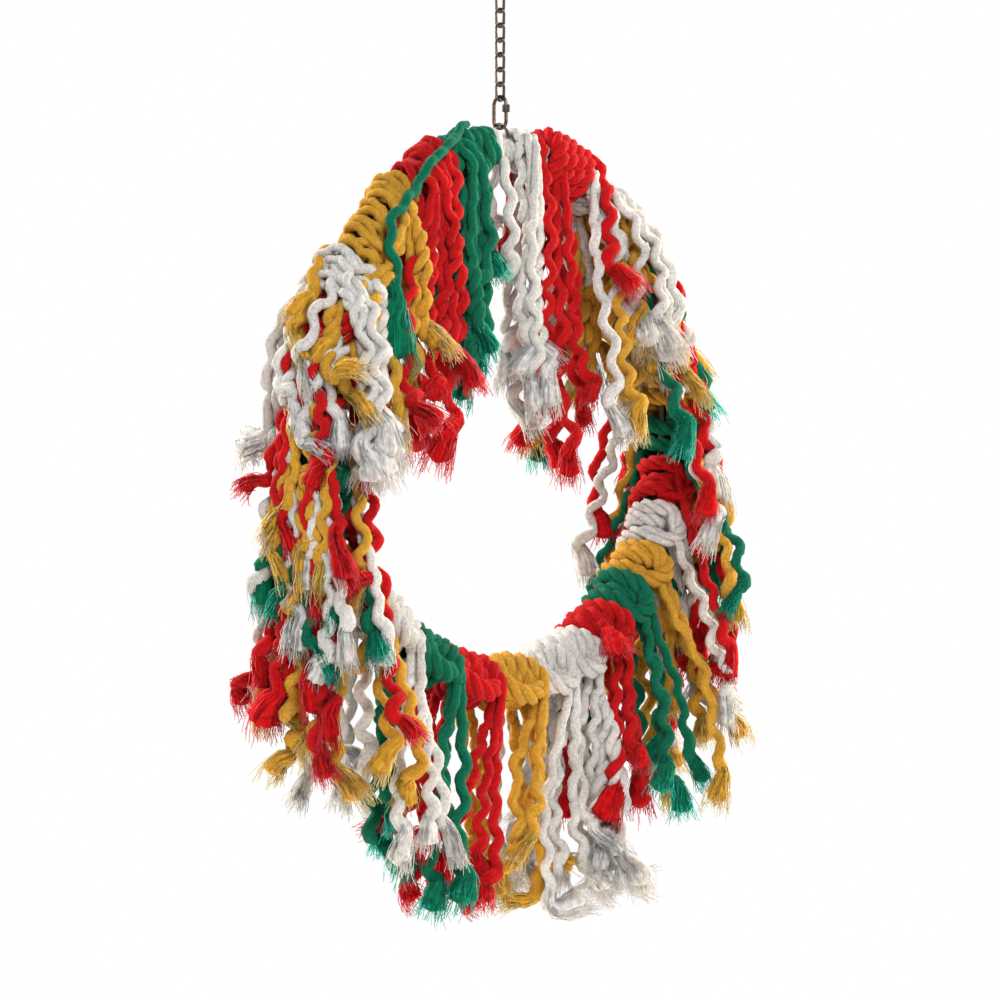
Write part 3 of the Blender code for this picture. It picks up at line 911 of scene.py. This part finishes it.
def settle_strands(ropes, rope):
    """Lets the strands sink until they rest on the knots and on each other, at their own length."""
    strands = [strand for item in ropes for strand in item.strands]
    counts = [len(strand["line"]) for strand in strands]
    points = np.concatenate([strand["line"] for strand in strands])
    owner = np.repeat(np.arange(len(strands)), counts)
    order = np.concatenate([np.arange(count) for count in counts])
    rope_of = np.repeat([strand["rope"].number for strand in strands], counts)
    cores = [(spaced(core, SIM_STEP), item.number) for item in ropes for core in item.cores]
    others = np.concatenate([core for core, _ in cores])
    knot_of = np.repeat([number for _, number in cores], [len(core) for core, _ in cores])
    free = (order >= ROOT_POINTS)[:, None]
    springs = []
    for gap, stiff in SPRINGS:
        a = np.arange(len(points) - gap)
        a = a[owner[a] == owner[a + gap]]
        for half in (0, 1):
            i = a[(order[a] // gap) % 2 == half]
            springs.append((i, i + gap, np.linalg.norm(points[i + gap] - points[i], axis=1), stiff))
    home = points.copy()
    apart = rope.strand * SQUEEZED
    clear = (rope.strand + ROPE) / 2
    low, high = np.array(CAD_BOX) + (-WALL, WALL)
    for step in range(SETTLE_ROUNDS):
        if step % PAIRS_EVERY == 0:
            moving = near_pairs(points, points, apart * 1.6)
            first, second = moving.T
            moving = moving[(first < second) & (owner[first] != owner[second])]
            still = near_pairs(points, others, clear * 1.4)
            first, second = still.T
            still = still[(rope_of[first] != knot_of[second]) | (order[first] >= OWN_POINTS)]
        grown = min(1.0, 0.3 + step / (0.6 * SETTLE_ROUNDS))
        points = points + free * (-UP * SINK + (home - points) * HOMEWARD)
        points = np.clip(points, low, high)
        push = np.zeros_like(points)
        hits = np.zeros(len(points))
        move, touch = pressed(points[moving[:, 0]] - points[moving[:, 1]], apart * grown)
        for column, share in ((0, 0.5), (1, -0.5)):
            np.add.at(push, moving[:, column], share * move)
            np.add.at(hits, moving[:, column], touch)
        move, touch = pressed(points[still[:, 0]] - others[still[:, 1]], clear * grown)
        np.add.at(push, still[:, 0], move)
        np.add.at(hits, still[:, 0], touch)
        points = points + free * push / np.maximum(hits, 1)[:, None]
        for i, j, rest, stiff in springs:
            line = points[j] - points[i]
            size = np.linalg.norm(line, axis=1)
            move = line * (stiff * (size - rest) / size / 2)[:, None]
            points[i] += free[i] * move * np.where(free[j], 1, 2)
            points[j] -= free[j] * move * np.where(free[i], 1, 2)
    for i, strand in enumerate(strands):
        strand["line"] = points[owner == i]


ROPES = []


def lay_out_knot(item, rope, random):
    """The plies of a knot, and what covers it: rows, a bight, or the turns under the eye."""
    if item.loose:
        item.plies = part_plies(item, rope, random)
    else:
        item.plies = lay_plies(item.route, item.bulk, rope, random)
    if item.number == FULLEST:
        item.cores.append(mass_route(item.angle, item.turns + MASS_TURNS))
        item.bars = lay_plies(item.cores[-1], MASS_BULK, rope, random)
    if item.number == BESIDE_EYE:
        item.bars = [under_eye_route(rope.ply)]
    if item.side > BARRED:
        item.cores.append(bar_route(item.angle, item.turns * ROW_PITCH))
        item.bars = lay_plies(item.cores[-1], item.bulk, rope, random)


def hang_strands(item, rope, random):
    """The strands of a rope's two ends, and those that cover the outer side of a steep knot."""
    grown = item.trim * (STRAND_TOP + (1 - STRAND_TOP) * float(ease(item.side, *TOP_FADES)))
    if item.number % 2:
        grown *= STRAND_SHORT
    for end, lengths in ((0, STRAND_LENGTHS), (-1, STRAND_LENGTHS[::-1])):
        phase = random.uniform(0, math.tau)
        for column, k in enumerate(np.argsort([ply[end][0] for ply in item.plies])):
            length = lengths[column] * grown * random.uniform(0.9, 1.1)
            line = hang_line(item, item.plies[k][end], column - 1, length, random)
            item.add_strand(waved(line, length, rope, random, phase + PHASE_STEP * column))
    if COVERED[0] < item.side < COVERED[1]:
        for out in (FRONT, -FRONT):
            length = item.trim * random.uniform(*COVER)
            line = cover_line(item, out, length)
            item.add_strand(waved(line, length, rope, random, random.uniform(0, math.tau)))


def overlaid_places(rope, random):
    """Rope, angle and radius of every ply that lies over the hoop, in the gaps and on knots."""
    places = []
    for item, other in zip(ROPES, ROPES[1:] + ROPES[:1]):
        gap = (other.angle - item.angle) % math.tau
        for share in EYE_GAP if item is ROPES[-1] else (0.5,):
            angle = item.angle + gap * share
            if from_top(angle) < DRAPED_TO and FULLEST not in (item.number, other.number):
                places.append((other, angle, DRAPED_RADIUS))
        if item.number in OVERLAID:
            count = OVERLAID[item.number]
            pitch = rope.strand * OVERLAID_PITCH
            for shift in np.linspace(-1, 1, count) * (count - 1) * pitch / 2:
                angle = item.angle + (shift + random.normal(0, 2 * MM)) / HOOP_RADIUS
                places.append((item, angle, OVERLAID_RADIUS + random.uniform(-2, 4) * MM))
        if item.number == FULLEST:
            for rows, radius in MASS_OVERLAID:
                places.append((item, item.angle + rows * ROW_PITCH / HOOP_RADIUS, radius))
    return places


def lay_loose_plies(rope, random):
    """The plies that only lie over the hoop, arch out from it, stray or end short."""
    for owner, angle, radius in overlaid_places(rope, random):
        for out, share in ((FRONT, 1.0), (-FRONT, 0.8)):
            length = share * random.uniform(*DRAPED) * owner.trim
            line = drape_line(angle, out, length, radius)
            owner.add_strand(waved(line, length, rope, random, random.uniform(0, math.tau)))
    for number, out in ((number, out) for number in ARCHES for out in (FRONT, -FRONT)):
        owner = ROPES[number - 1]
        for shift, aside, stiff, length in ARCHES[number]:
            line = arch_line(owner.angle + shift * MM / HOOP_RADIUS, out, aside, stiff, length)
            line = waved(line, length, rope, random, random.uniform(0, math.tau), ARCH_CRIMP)
            owner.add_strand(line, random.uniform(1.0, BUSHIEST))
    for number, line in ((STRAY, stray_line()), (SHORT, short_line(ROPES[SHORT - 1].angle))):
        line = waved(line, travelled(line)[-1], rope, random, 0.0, STRAY_CRIMP)
        ROPES[number - 1].add_strand(line, BUSHIEST)


def lay_out_ropes():
    """Reads every rope from the frame, and lays out its plies and strands once."""
    if ROPES:
        return ROPES
    rope = bpy.context.scene.swing_rope
    random = np.random.default_rng(rope.seed)
    for node in sorted((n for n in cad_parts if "_rope_" in n), key=lambda n: n[-2:]):
        item = Rope(node)
        lay_out_knot(item, rope, random)
        hang_strands(item, rope, random)
        ROPES.append(item)
    lay_loose_plies(rope, random)
    settle_strands(ROPES, rope)
    strands = [strand for item in ROPES for strand in item.strands]
    for strand in strands:
        strand["line"] = curved(unkinked(strand["line"], 2 * rope.strand), STRAND_STEP)
        strand["length"] = travelled(strand["line"])[-1]
        strand["scale"] = random.uniform(*STRAND_VARIES)
    for place, strand in enumerate(sorted(strands, key=lambda strand: -strand["length"])):
        strand["cord"] = place < CORDS_DECLARED
    return ROPES


# Pieces


def oval(length, width, steps):
    """An oval's line across and up, from the right side of its top bend round to the left and back."""
    half = width / 2
    straight = length / 2 - half
    top = np.linspace(0, math.pi, steps)
    low = np.linspace(math.pi, math.tau, steps)
    return np.concatenate([
        np.stack([half * np.cos(top), straight + half * np.sin(top)], axis=1),
        np.stack([half * np.cos(low), half * np.sin(low) - straight], axis=1)])


def finish_piece(piece, body, node):
    """Puts a piece on the body it rides on, and hides the part of the frame that it stands for."""
    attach(piece, body)
    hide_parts(node)


def finish_steel(piece, body, node):
    """Finishes a steel piece of a body."""
    finish_piece(piece, body, node)


def finish_cotton(piece, item):
    """Finishes a cotton piece of a rope, which rides on the hoop."""
    finish_piece(piece, "hoop", item.node)


def draw_wire(name, line, thick, closed):
    """A piece of plated steel wire."""
    sides = bpy.context.scene.swing_steel.sides
    return draw(name, [(line, thick / 2, 0, closed)], plated_steel(), sides)


class SWING_OT_hoop(bpy.types.Operator):
    """Makes the steel hoop and the wire eye on its top"""
    bl_idname = "swing.hoop"
    bl_label = "Hoop and eye"

    def execute(self, context):
        wire = context.scene.swing_steel.eye_wire
        circle = on_hoop(np.linspace(0, math.tau, 160, endpoint=False))
        finish_steel(draw_wire("hoop_rod", circle, HOOP_ROD, True), "hoop", "steel_hoop")
        low, high = np.array(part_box("hoop_eye"))
        half = (high[0] - low[0] - wire) / 2
        top = high[2] - wire / 2
        bend = np.linspace(0, math.pi, 40)
        arch = np.stack([half * np.cos(bend), 0 * bend, top - half + half * np.sin(bend)], axis=1)
        feet = np.array([[half, 0, low[2]], [-half, 0, low[2]]])
        line = spaced(np.concatenate([feet[:1], arch, feet[1:]]), WIRE_STEP)
        finish_steel(draw_wire("wire_eye", line, wire, False), "hoop", "hoop_eye")
        return {"FINISHED"}


class SWING_OT_chain(bpy.types.Operator):
    """Makes the twisted chain, link by link"""
    bl_idname = "swing.chain"
    bl_label = "Chain"

    def execute(self, context):
        steel = context.scene.swing_steel
        for node in sorted(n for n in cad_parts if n.startswith("chain_link_")):
            low, high = np.array(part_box(node))
            length = high[2] - low[2] - steel.chain_wire
            across, up = oval(length, steel.chain_width, 24).T
            turn = -math.pi / 2 * (0.5 + up / length)
            points = np.stack([across * np.cos(turn), across * np.sin(turn), up], axis=1)
            points = spaced(np.concatenate([points, points[:1]]), LINK_STEP)[:-1]
            middle = (low + high) / 2 * (0, 0, 1)
            number = node.rsplit("_", 1)[1]
            link = draw_wire(f"twisted_link_{number}", points + middle, steel.chain_wire, True)
            finish_steel(link, node, node)
        return {"FINISHED"}


class SWING_OT_quick_links(bpy.types.Operator):
    """Makes the two quick links and their sleeve nuts"""
    bl_idname = "swing.quick_links"
    bl_label = "Quick links"

    def execute(self, context):
        wire = context.scene.swing_steel.link_wire
        for which in ("upper", "lower"):
            low, high = np.array(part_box(f"{which}_quick_link"))
            nut_low, nut_high = np.array(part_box(f"{which}_link_nut"))
            middle = (low + high) / 2 * (0, 0, 1)
            nut = (nut_low + nut_high) / 2
            leg = unit(nut * (1, 1, 0))
            width = max((high - low)[:2]) - wire
            line = oval(high[2] - low[2] - wire, width, 32)
            level = nut[2] - middle[2]
            ends = np.array([[width / 2, level + LINK_GAP], [width / 2, level - LINK_GAP]])
            line = np.concatenate([ends[:1], line, ends[1:]])
            points = spaced(middle + leg * line[:, :1] + UP * line[:, 1:], WIRE_STEP)
            link = draw_wire(f"{which}_link_wire", points, wire, False)
            finish_steel(link, f"{which}_quick_link", f"{which}_quick_link")
            size = nut_high - nut_low
            sleeve = hex_sleeve(f"{which}_sleeve_nut", nut, size, wire / 2 + NUT_PLAY)
            finish_steel(sleeve, f"{which}_link_nut", f"{which}_link_nut")
        return {"FINISHED"}


def hex_sleeve(name, centre, size, bore):
    """A hexagon sleeve with chamfered ends and a round bore."""
    flats = min(size[0], size[1]) / 2
    tall = size[2] / 2
    count = SLEEVE_SIDES
    turn = np.arange(count) * math.tau / count
    hexagon = flats / np.cos((turn + math.pi / 6) % (math.pi / 3) - math.pi / 6)
    chamfer = np.minimum(hexagon, flats * 1.01)
    flat = tall * CHAMFERED
    rings = ((bore, -tall), (chamfer, -tall), (hexagon, -flat), (hexagon, flat), (chamfer, tall),
             (bore, tall))
    points = []
    for radius, height in rings:
        for r, t in zip(np.broadcast_to(radius, count), turn):
            points.append(tuple(centre + (r * math.cos(t), r * math.sin(t), height)))
    faces = []
    for ring in range(len(rings)):
        above = (ring + 1) % len(rings)
        for i in range(count):
            j = (i + 1) % count
            faces.append((ring * count + i, ring * count + j, above * count + j, above * count + i))
    mesh = bpy.data.meshes.new(name)
    mesh.from_pydata(points, [], faces)
    mesh.shade_smooth()
    mesh.set_sharp_from_angle(angle=math.radians(25))
    mesh.materials.append(plated_steel())
    piece = bpy.data.objects.new(name, mesh)
    bpy.context.scene.collection.objects.link(piece)
    return piece


def yarn_turn(line):
    """How far the yarns of a ply have turned along it."""
    return travelled(line) * math.tau / YARN_LAY


def knot_stock(item, rope):
    """The plies of a knot, each with its thickness."""
    half = rope.strand * 0.47 if item.loose else rope.ply * item.bulk / 2
    over = rope.ply * (MASS_BULK if item.number == FULLEST else item.bulk) / 2
    lines = [(ply, half, yarn_turn(ply), False) for ply in item.plies]
    return lines + [(ply, over, yarn_turn(ply), False) for ply in item.bars]


def strand_stock(strand, rope):
    """A strand's line, with the thickness it has from the rope to its worn end."""
    line = strand["line"]
    along = travelled(line)
    to_end = along[-1] - along
    thick = rope.ply + (rope.strand * strand["scale"] - rope.ply) * ease(along, 0, STRAND_SWELLS)
    # It loosens over its last 40 mm, and is worn thin at its end, inside the brush
    loosened = 1 + 0.45 * ease(-to_end, -0.04, -0.01)
    worn = 0.35 + 0.65 * ease(to_end, 0, STRAND_SWELLS)
    return line, thick * loosened * worn / 2, yarn_turn(line), False


class SWING_OT_knots(bpy.types.Operator):
    """Winds the laid rope on the hoop, with the strands that are not cords of their own"""
    bl_idname = "swing.knots"
    bl_label = "Knots"

    def execute(self, context):
        rope = context.scene.swing_rope
        for item in lay_out_ropes():
            lines = knot_stock(item, rope)
            lines += [strand_stock(strand, rope) for strand in item.strands if not strand["cord"]]
            knot = draw(f"knot_{item.number:02d}", lines, cotton(item.colour), *PLY_STOCK)
            finish_cotton(knot, item)
        return {"FINISHED"}


class SWING_OT_strands(bpy.types.Operator):
    """Makes the longest strands as free cords"""
    bl_idname = "swing.strands"
    bl_label = "Strands"

    def execute(self, context):
        rope = context.scene.swing_rope
        strands = [strand for item in lay_out_ropes() for strand in item.strands if strand["cord"]]
        for number, strand in enumerate(strands, 1):
            item = strand["rope"]
            lines = [strand_stock(strand, rope)]
            piece = draw(f"strand_{number:02d}", lines, cotton(item.colour), *PLY_STOCK)
            finish_cotton(piece, item)
        return {"FINISHED"}


def brush(strand, rope, random):
    """A frayed end: the bell that its yarns make together, and the loose yarns on and past it."""
    line = strand["line"]
    bushy = strand["bushy"] * (BUSHIER if random.uniform() < BUSHY else 1.0)
    reach = rope.tuft * random.uniform(*TUFT_VARIES) * math.sqrt(bushy)
    wide = random.uniform(*BRUSH_WIDE) * bushy
    aim = unit(line[-1] - line[-5])
    hang = unit(aim - HANGS * UP)
    low, high = np.array(CAD_BOX) + (wide - TUFT_PAST, TUFT_PAST - wide)
    tip = np.clip(line[-1] + hang * reach * 0.6, low, high)
    on = np.linspace(0, 1, 9)[1:, None]
    past = line[-1] + (tip - line[-1]) * on + (aim - hang) * 0.3 * reach * on * (1 - on)
    middle = spaced(np.concatenate([line[-round(reach / STRAND_STEP):], past]), 1 * MM)
    _, side, other = carried(middle, ACROSS)
    steps = np.arange(len(middle))

    def spread(at):
        narrow = rope.strand * 0.5
        return narrow + (wide - narrow) * np.clip((at - SPREADS_FROM) / (1 - SPREADS_FROM), 0, 1) ** 1.2

    at = np.linspace(*BELL, 18)
    blunt = 1 - 0.85 * ease(at, BELL[1] - 0.06, BELL[1])
    ragged = 1 + 0.07 * np.sin(at * random.uniform(20, 40) + random.uniform(0, math.tau))
    bell = (points_at(at * steps[-1], steps, middle), BELL_FULL * spread(at) * blunt * ragged,
            random.uniform(0, math.tau) + at, False)
    locks = random.uniform(0, 1, (LOCKS, 4))
    yarns = []
    for number in range(rope.fibres):
        lock = locks[number % LOCKS] + random.normal(0, 0.06, 4)
        end = min(1, 0.89 + 0.1 * lock[3] + random.normal(0, 0.03))
        at = np.linspace(0.25 + 0.4 * lock[2], end, YARN_POINTS)
        index = np.clip(at, 0, 1) * steps[-1]
        near = index.astype(int)
        out = spread(at) * (0.35 + 0.68 * math.sqrt(abs(lock[1])))
        turn = math.tau * lock[0] + 0.6 * at * math.sin(math.tau * lock[3]) + random.normal(0, 0.2)
        across = side[near] * np.cos(turn)[:, None] + other[near] * np.sin(turn)[:, None]
        place = points_at(index, steps, middle) + across * out[:, None]
        at = at[:, None]
        wave = np.sin(at * random.uniform(4, 12, 3) + random.uniform(0, math.tau, 3))
        frizz = wave * FRIZZ * at ** 1.5 + random.normal(0, STICKS_OUT, 3) * at ** 2
        yarns.append((place + frizz, rope.fibre * np.linspace(0.55, 0.3, YARN_POINTS), 0, False))
    return bell, yarns


class SWING_OT_tufts(bpy.types.Operator):
    """Frays the end of every strand into a brush of yarns"""
    bl_idname = "swing.tufts"
    bl_label = "Frayed ends"

    def execute(self, context):
        rope = context.scene.swing_rope
        random = np.random.default_rng(rope.seed + 1)
        for item in lay_out_ropes():
            brushes = [brush(strand, rope, random) for strand in item.strands]
            material = frayed_cotton(item.colour)
            bells = [bell for bell, _ in brushes]
            finish_cotton(draw(f"brushes_{item.number:02d}", bells, material, *BELL_STOCK), item)
            yarns = [yarn for _, brushed in brushes for yarn in brushed]
            finish_cotton(draw(f"tufts_{item.number:02d}", yarns, material, 3), item)
        return {"FINISHED"}


def cotton_down():
    """Fine short hairs that stand out from a cotton surface."""
    tree, given = make_tree("Cotton down", (
        ("Density", "Float"), ("Length", "Float"), ("Seed", "Int"), ("Material", "Material")))
    spots = add(tree, "GeometryNodeDistributePointsOnFaces", {
        "Mesh": given["Geometry"], "Density": given["Density"], "Seed": given["Seed"]})
    thick = add(tree, "ShaderNodeMath", {0: given["Length"], 1: 0.02}, operation="MULTIPLY")
    hair = add(tree, "GeometryNodeMeshCone", {
        "Vertices": 3, "Radius Top": 0.0, "Radius Bottom": thick.outputs[0],
        "Depth": given["Length"]}, fill_type="NONE")
    lean = add(tree, "FunctionNodeRandomValue", {
        0: (-HAIRS_LEAN, -HAIRS_LEAN, 0.0), 1: (HAIRS_LEAN, HAIRS_LEAN, math.tau),
        "Seed": given["Seed"]}, data_type="FLOAT_VECTOR")
    leant = add(tree, "FunctionNodeRotateRotation", {
        0: spots.outputs["Rotation"], 1: lean.outputs[0]}, rotation_space="LOCAL")
    size = add(tree, "FunctionNodeRandomValue", {2: 0.4, 3: 1.0, "Seed": given["Seed"]},
               data_type="FLOAT")
    hairs = add(tree, "GeometryNodeInstanceOnPoints", {
        "Points": spots.outputs["Points"], "Instance": hair.outputs["Mesh"],
        "Rotation": leant.outputs[0], "Scale": size.outputs[1]})
    return close_tree(tree, hairs.outputs[0], given["Material"])


class SWING_OT_down(bpy.types.Operator):
    """Grows fine hairs on the knots and strands"""
    bl_idname = "swing.down"
    bl_label = "Down"

    def execute(self, context):
        rope = context.scene.swing_rope
        tree = cotton_down()
        for item in lay_out_ropes():
            material = frayed_cotton(item.colour)
            lines = knot_stock(item, rope) + [strand_stock(strand, rope) for strand in item.strands]
            bare = draw(f"bare_{item.number:02d}", lines, material, 8)
            surface = bare.data
            bpy.data.objects.remove(bare)
            down = run_tree(f"down_{item.number:02d}", surface, tree, {
                "Density": DOWN_DENSITY, "Length": rope.down, "Seed": item.number,
                "Material": material})
            finish_cotton(down, item)
        return {"FINISHED"}


# Stage


def pale_matt_board(glow):
    """Pale matt board: nearly white, without shine, faintly cloudy, with some light of its own."""
    material, tree, shader = new_material("pale_matt_board")
    place = add(tree, "ShaderNodeTexCoord").outputs["Object"]
    # Clouds of about 330 mm
    cloud = add(tree, "ShaderNodeTexNoise", {"Vector": place, "Scale": 3.0})
    tone = add(tree, "ShaderNodeMix", {
        0: cloud.outputs["Fac"], 6: linear("#F2F0EC"), 7: linear("#F8F6F2")}, data_type="RGBA")
    tree.links.new(tone.outputs[2], shader.inputs["Base Color"])
    shader.inputs["Roughness"].default_value = 0.9
    shader.inputs["Emission Color"].default_value = linear("#F8F6F2")
    shader.inputs["Emission Strength"].default_value = glow
    return material


def white_studio(sky):
    """White surroundings, which the camera sees brighter than they light the swing."""
    world = bpy.data.worlds.new("white_studio")
    world.use_nodes = True
    tree = world.node_tree
    ray = add(tree, "ShaderNodeLightPath").outputs["Is Camera Ray"]
    strength = add(tree, "ShaderNodeMapRange", {"Value": ray, "To Min": sky, "To Max": 1.0})
    back = tree.nodes["Background"]
    back.inputs["Color"].default_value = (1, 1, 1, 1)
    tree.links.new(strength.outputs[0], back.inputs["Strength"])
    return world


def area_light(name, place, target, size, power, colour):
    """A round soft light that faces a target."""
    data = bpy.data.lights.new(name, "AREA")
    data.shape = "DISK"
    data.size = size
    data.energy = power
    data.color = linear(colour)[:3]
    light = bpy.data.objects.new(name, data)
    light.location = place
    light.rotation_euler = (target - light.location).to_track_quat("-Z", "Y").to_euler()
    bpy.context.scene.collection.objects.link(light)


class SWING_OT_stage(bpy.types.Operator):
    """Makes the pale floor, the soft light and the camera"""
    bl_idname = "swing.stage"
    bl_label = "Stage"

    def execute(self, context):
        scene = context.scene
        stage = scene.swing_stage
        centre = Vector((0, 0, HOOP_CENTRE[2] - stage.below))
        level = CAD_BOX[0][2] - stage.floor_drop
        turn = np.arange(FLOOR_SIDES) * math.tau / FLOOR_SIDES
        edge = [(FLOOR_RADIUS * math.cos(t), FLOOR_RADIUS * math.sin(t), level) for t in turn]
        mesh = bpy.data.meshes.new("floor")
        mesh.from_pydata(edge, [], [tuple(range(FLOOR_SIDES))])
        mesh.materials.append(pale_matt_board(stage.glow))
        floor = bpy.data.objects.new("floor", mesh)
        scene.collection.objects.link(floor)
        scene.world = white_studio(stage.sky)

        def around(azimuth, elevation, distance):
            a = stage.azimuth + math.radians(azimuth)
            e = math.radians(elevation)
            flat = math.cos(e)
            return centre + distance * Vector((math.sin(a) * flat, -math.cos(a) * flat, math.sin(e)))

        for name, power, azimuth, elevation, distance, size, colour in LIGHTS:
            place = around(azimuth, elevation, distance)
            area_light(name, place, centre, size, getattr(stage, power), colour)

        lens = bpy.data.cameras.new("camera")
        lens.sensor_width = 36.0
        lens.lens = lens.sensor_width * stage.distance / stage.width
        camera = bpy.data.objects.new("camera", lens)
        camera.location = around(0, math.degrees(stage.elevation), stage.distance)
        camera.rotation_euler = (centre - camera.location).to_track_quat("-Z", "Y").to_euler()
        scene.collection.objects.link(camera)
        scene.camera = camera
        scene.view_settings.view_transform = "Standard"
        return {"FINISHED"}


class SWING_PT_panel(bpy.types.Panel):
    """The steps of the swing, in order"""
    bl_idname = "SWING_PT_panel"
    bl_label = "Rope ring bird swing"
    bl_space_type = "VIEW_3D"
    bl_region_type = "UI"
    bl_category = "Swing"

    def draw(self, context):
        for step in STEPS:
            self.layout.operator(step.bl_idname)
        for group, kind in GROUPS.items():
            for name in kind.__annotations__:
                self.layout.prop(getattr(context.scene, group), name)


STEPS = (SWING_OT_stage, SWING_OT_hoop, SWING_OT_chain, SWING_OT_quick_links, SWING_OT_knots,
         SWING_OT_strands, SWING_OT_tufts, SWING_OT_down)
GROUPS = {"swing_steel": SteelSettings, "swing_rope": RopeSettings, "swing_stage": StageSettings}


def register():
    for kind in (*GROUPS.values(), *STEPS, SWING_PT_panel):
        bpy.utils.register_class(kind)
    for name, kind in GROUPS.items():
        setattr(bpy.types.Scene, name, PointerProperty(type=kind))


def unregister():
    for name in GROUPS:
        delattr(bpy.types.Scene, name)
    for kind in reversed((*GROUPS.values(), *STEPS, SWING_PT_panel)):
        bpy.utils.unregister_class(kind)


def main():
    register()
    for step in STEPS:
        group, name = step.bl_idname.split(".")
        getattr(getattr(bpy.ops, group), name)()


if __name__ == "__main__":
    main()
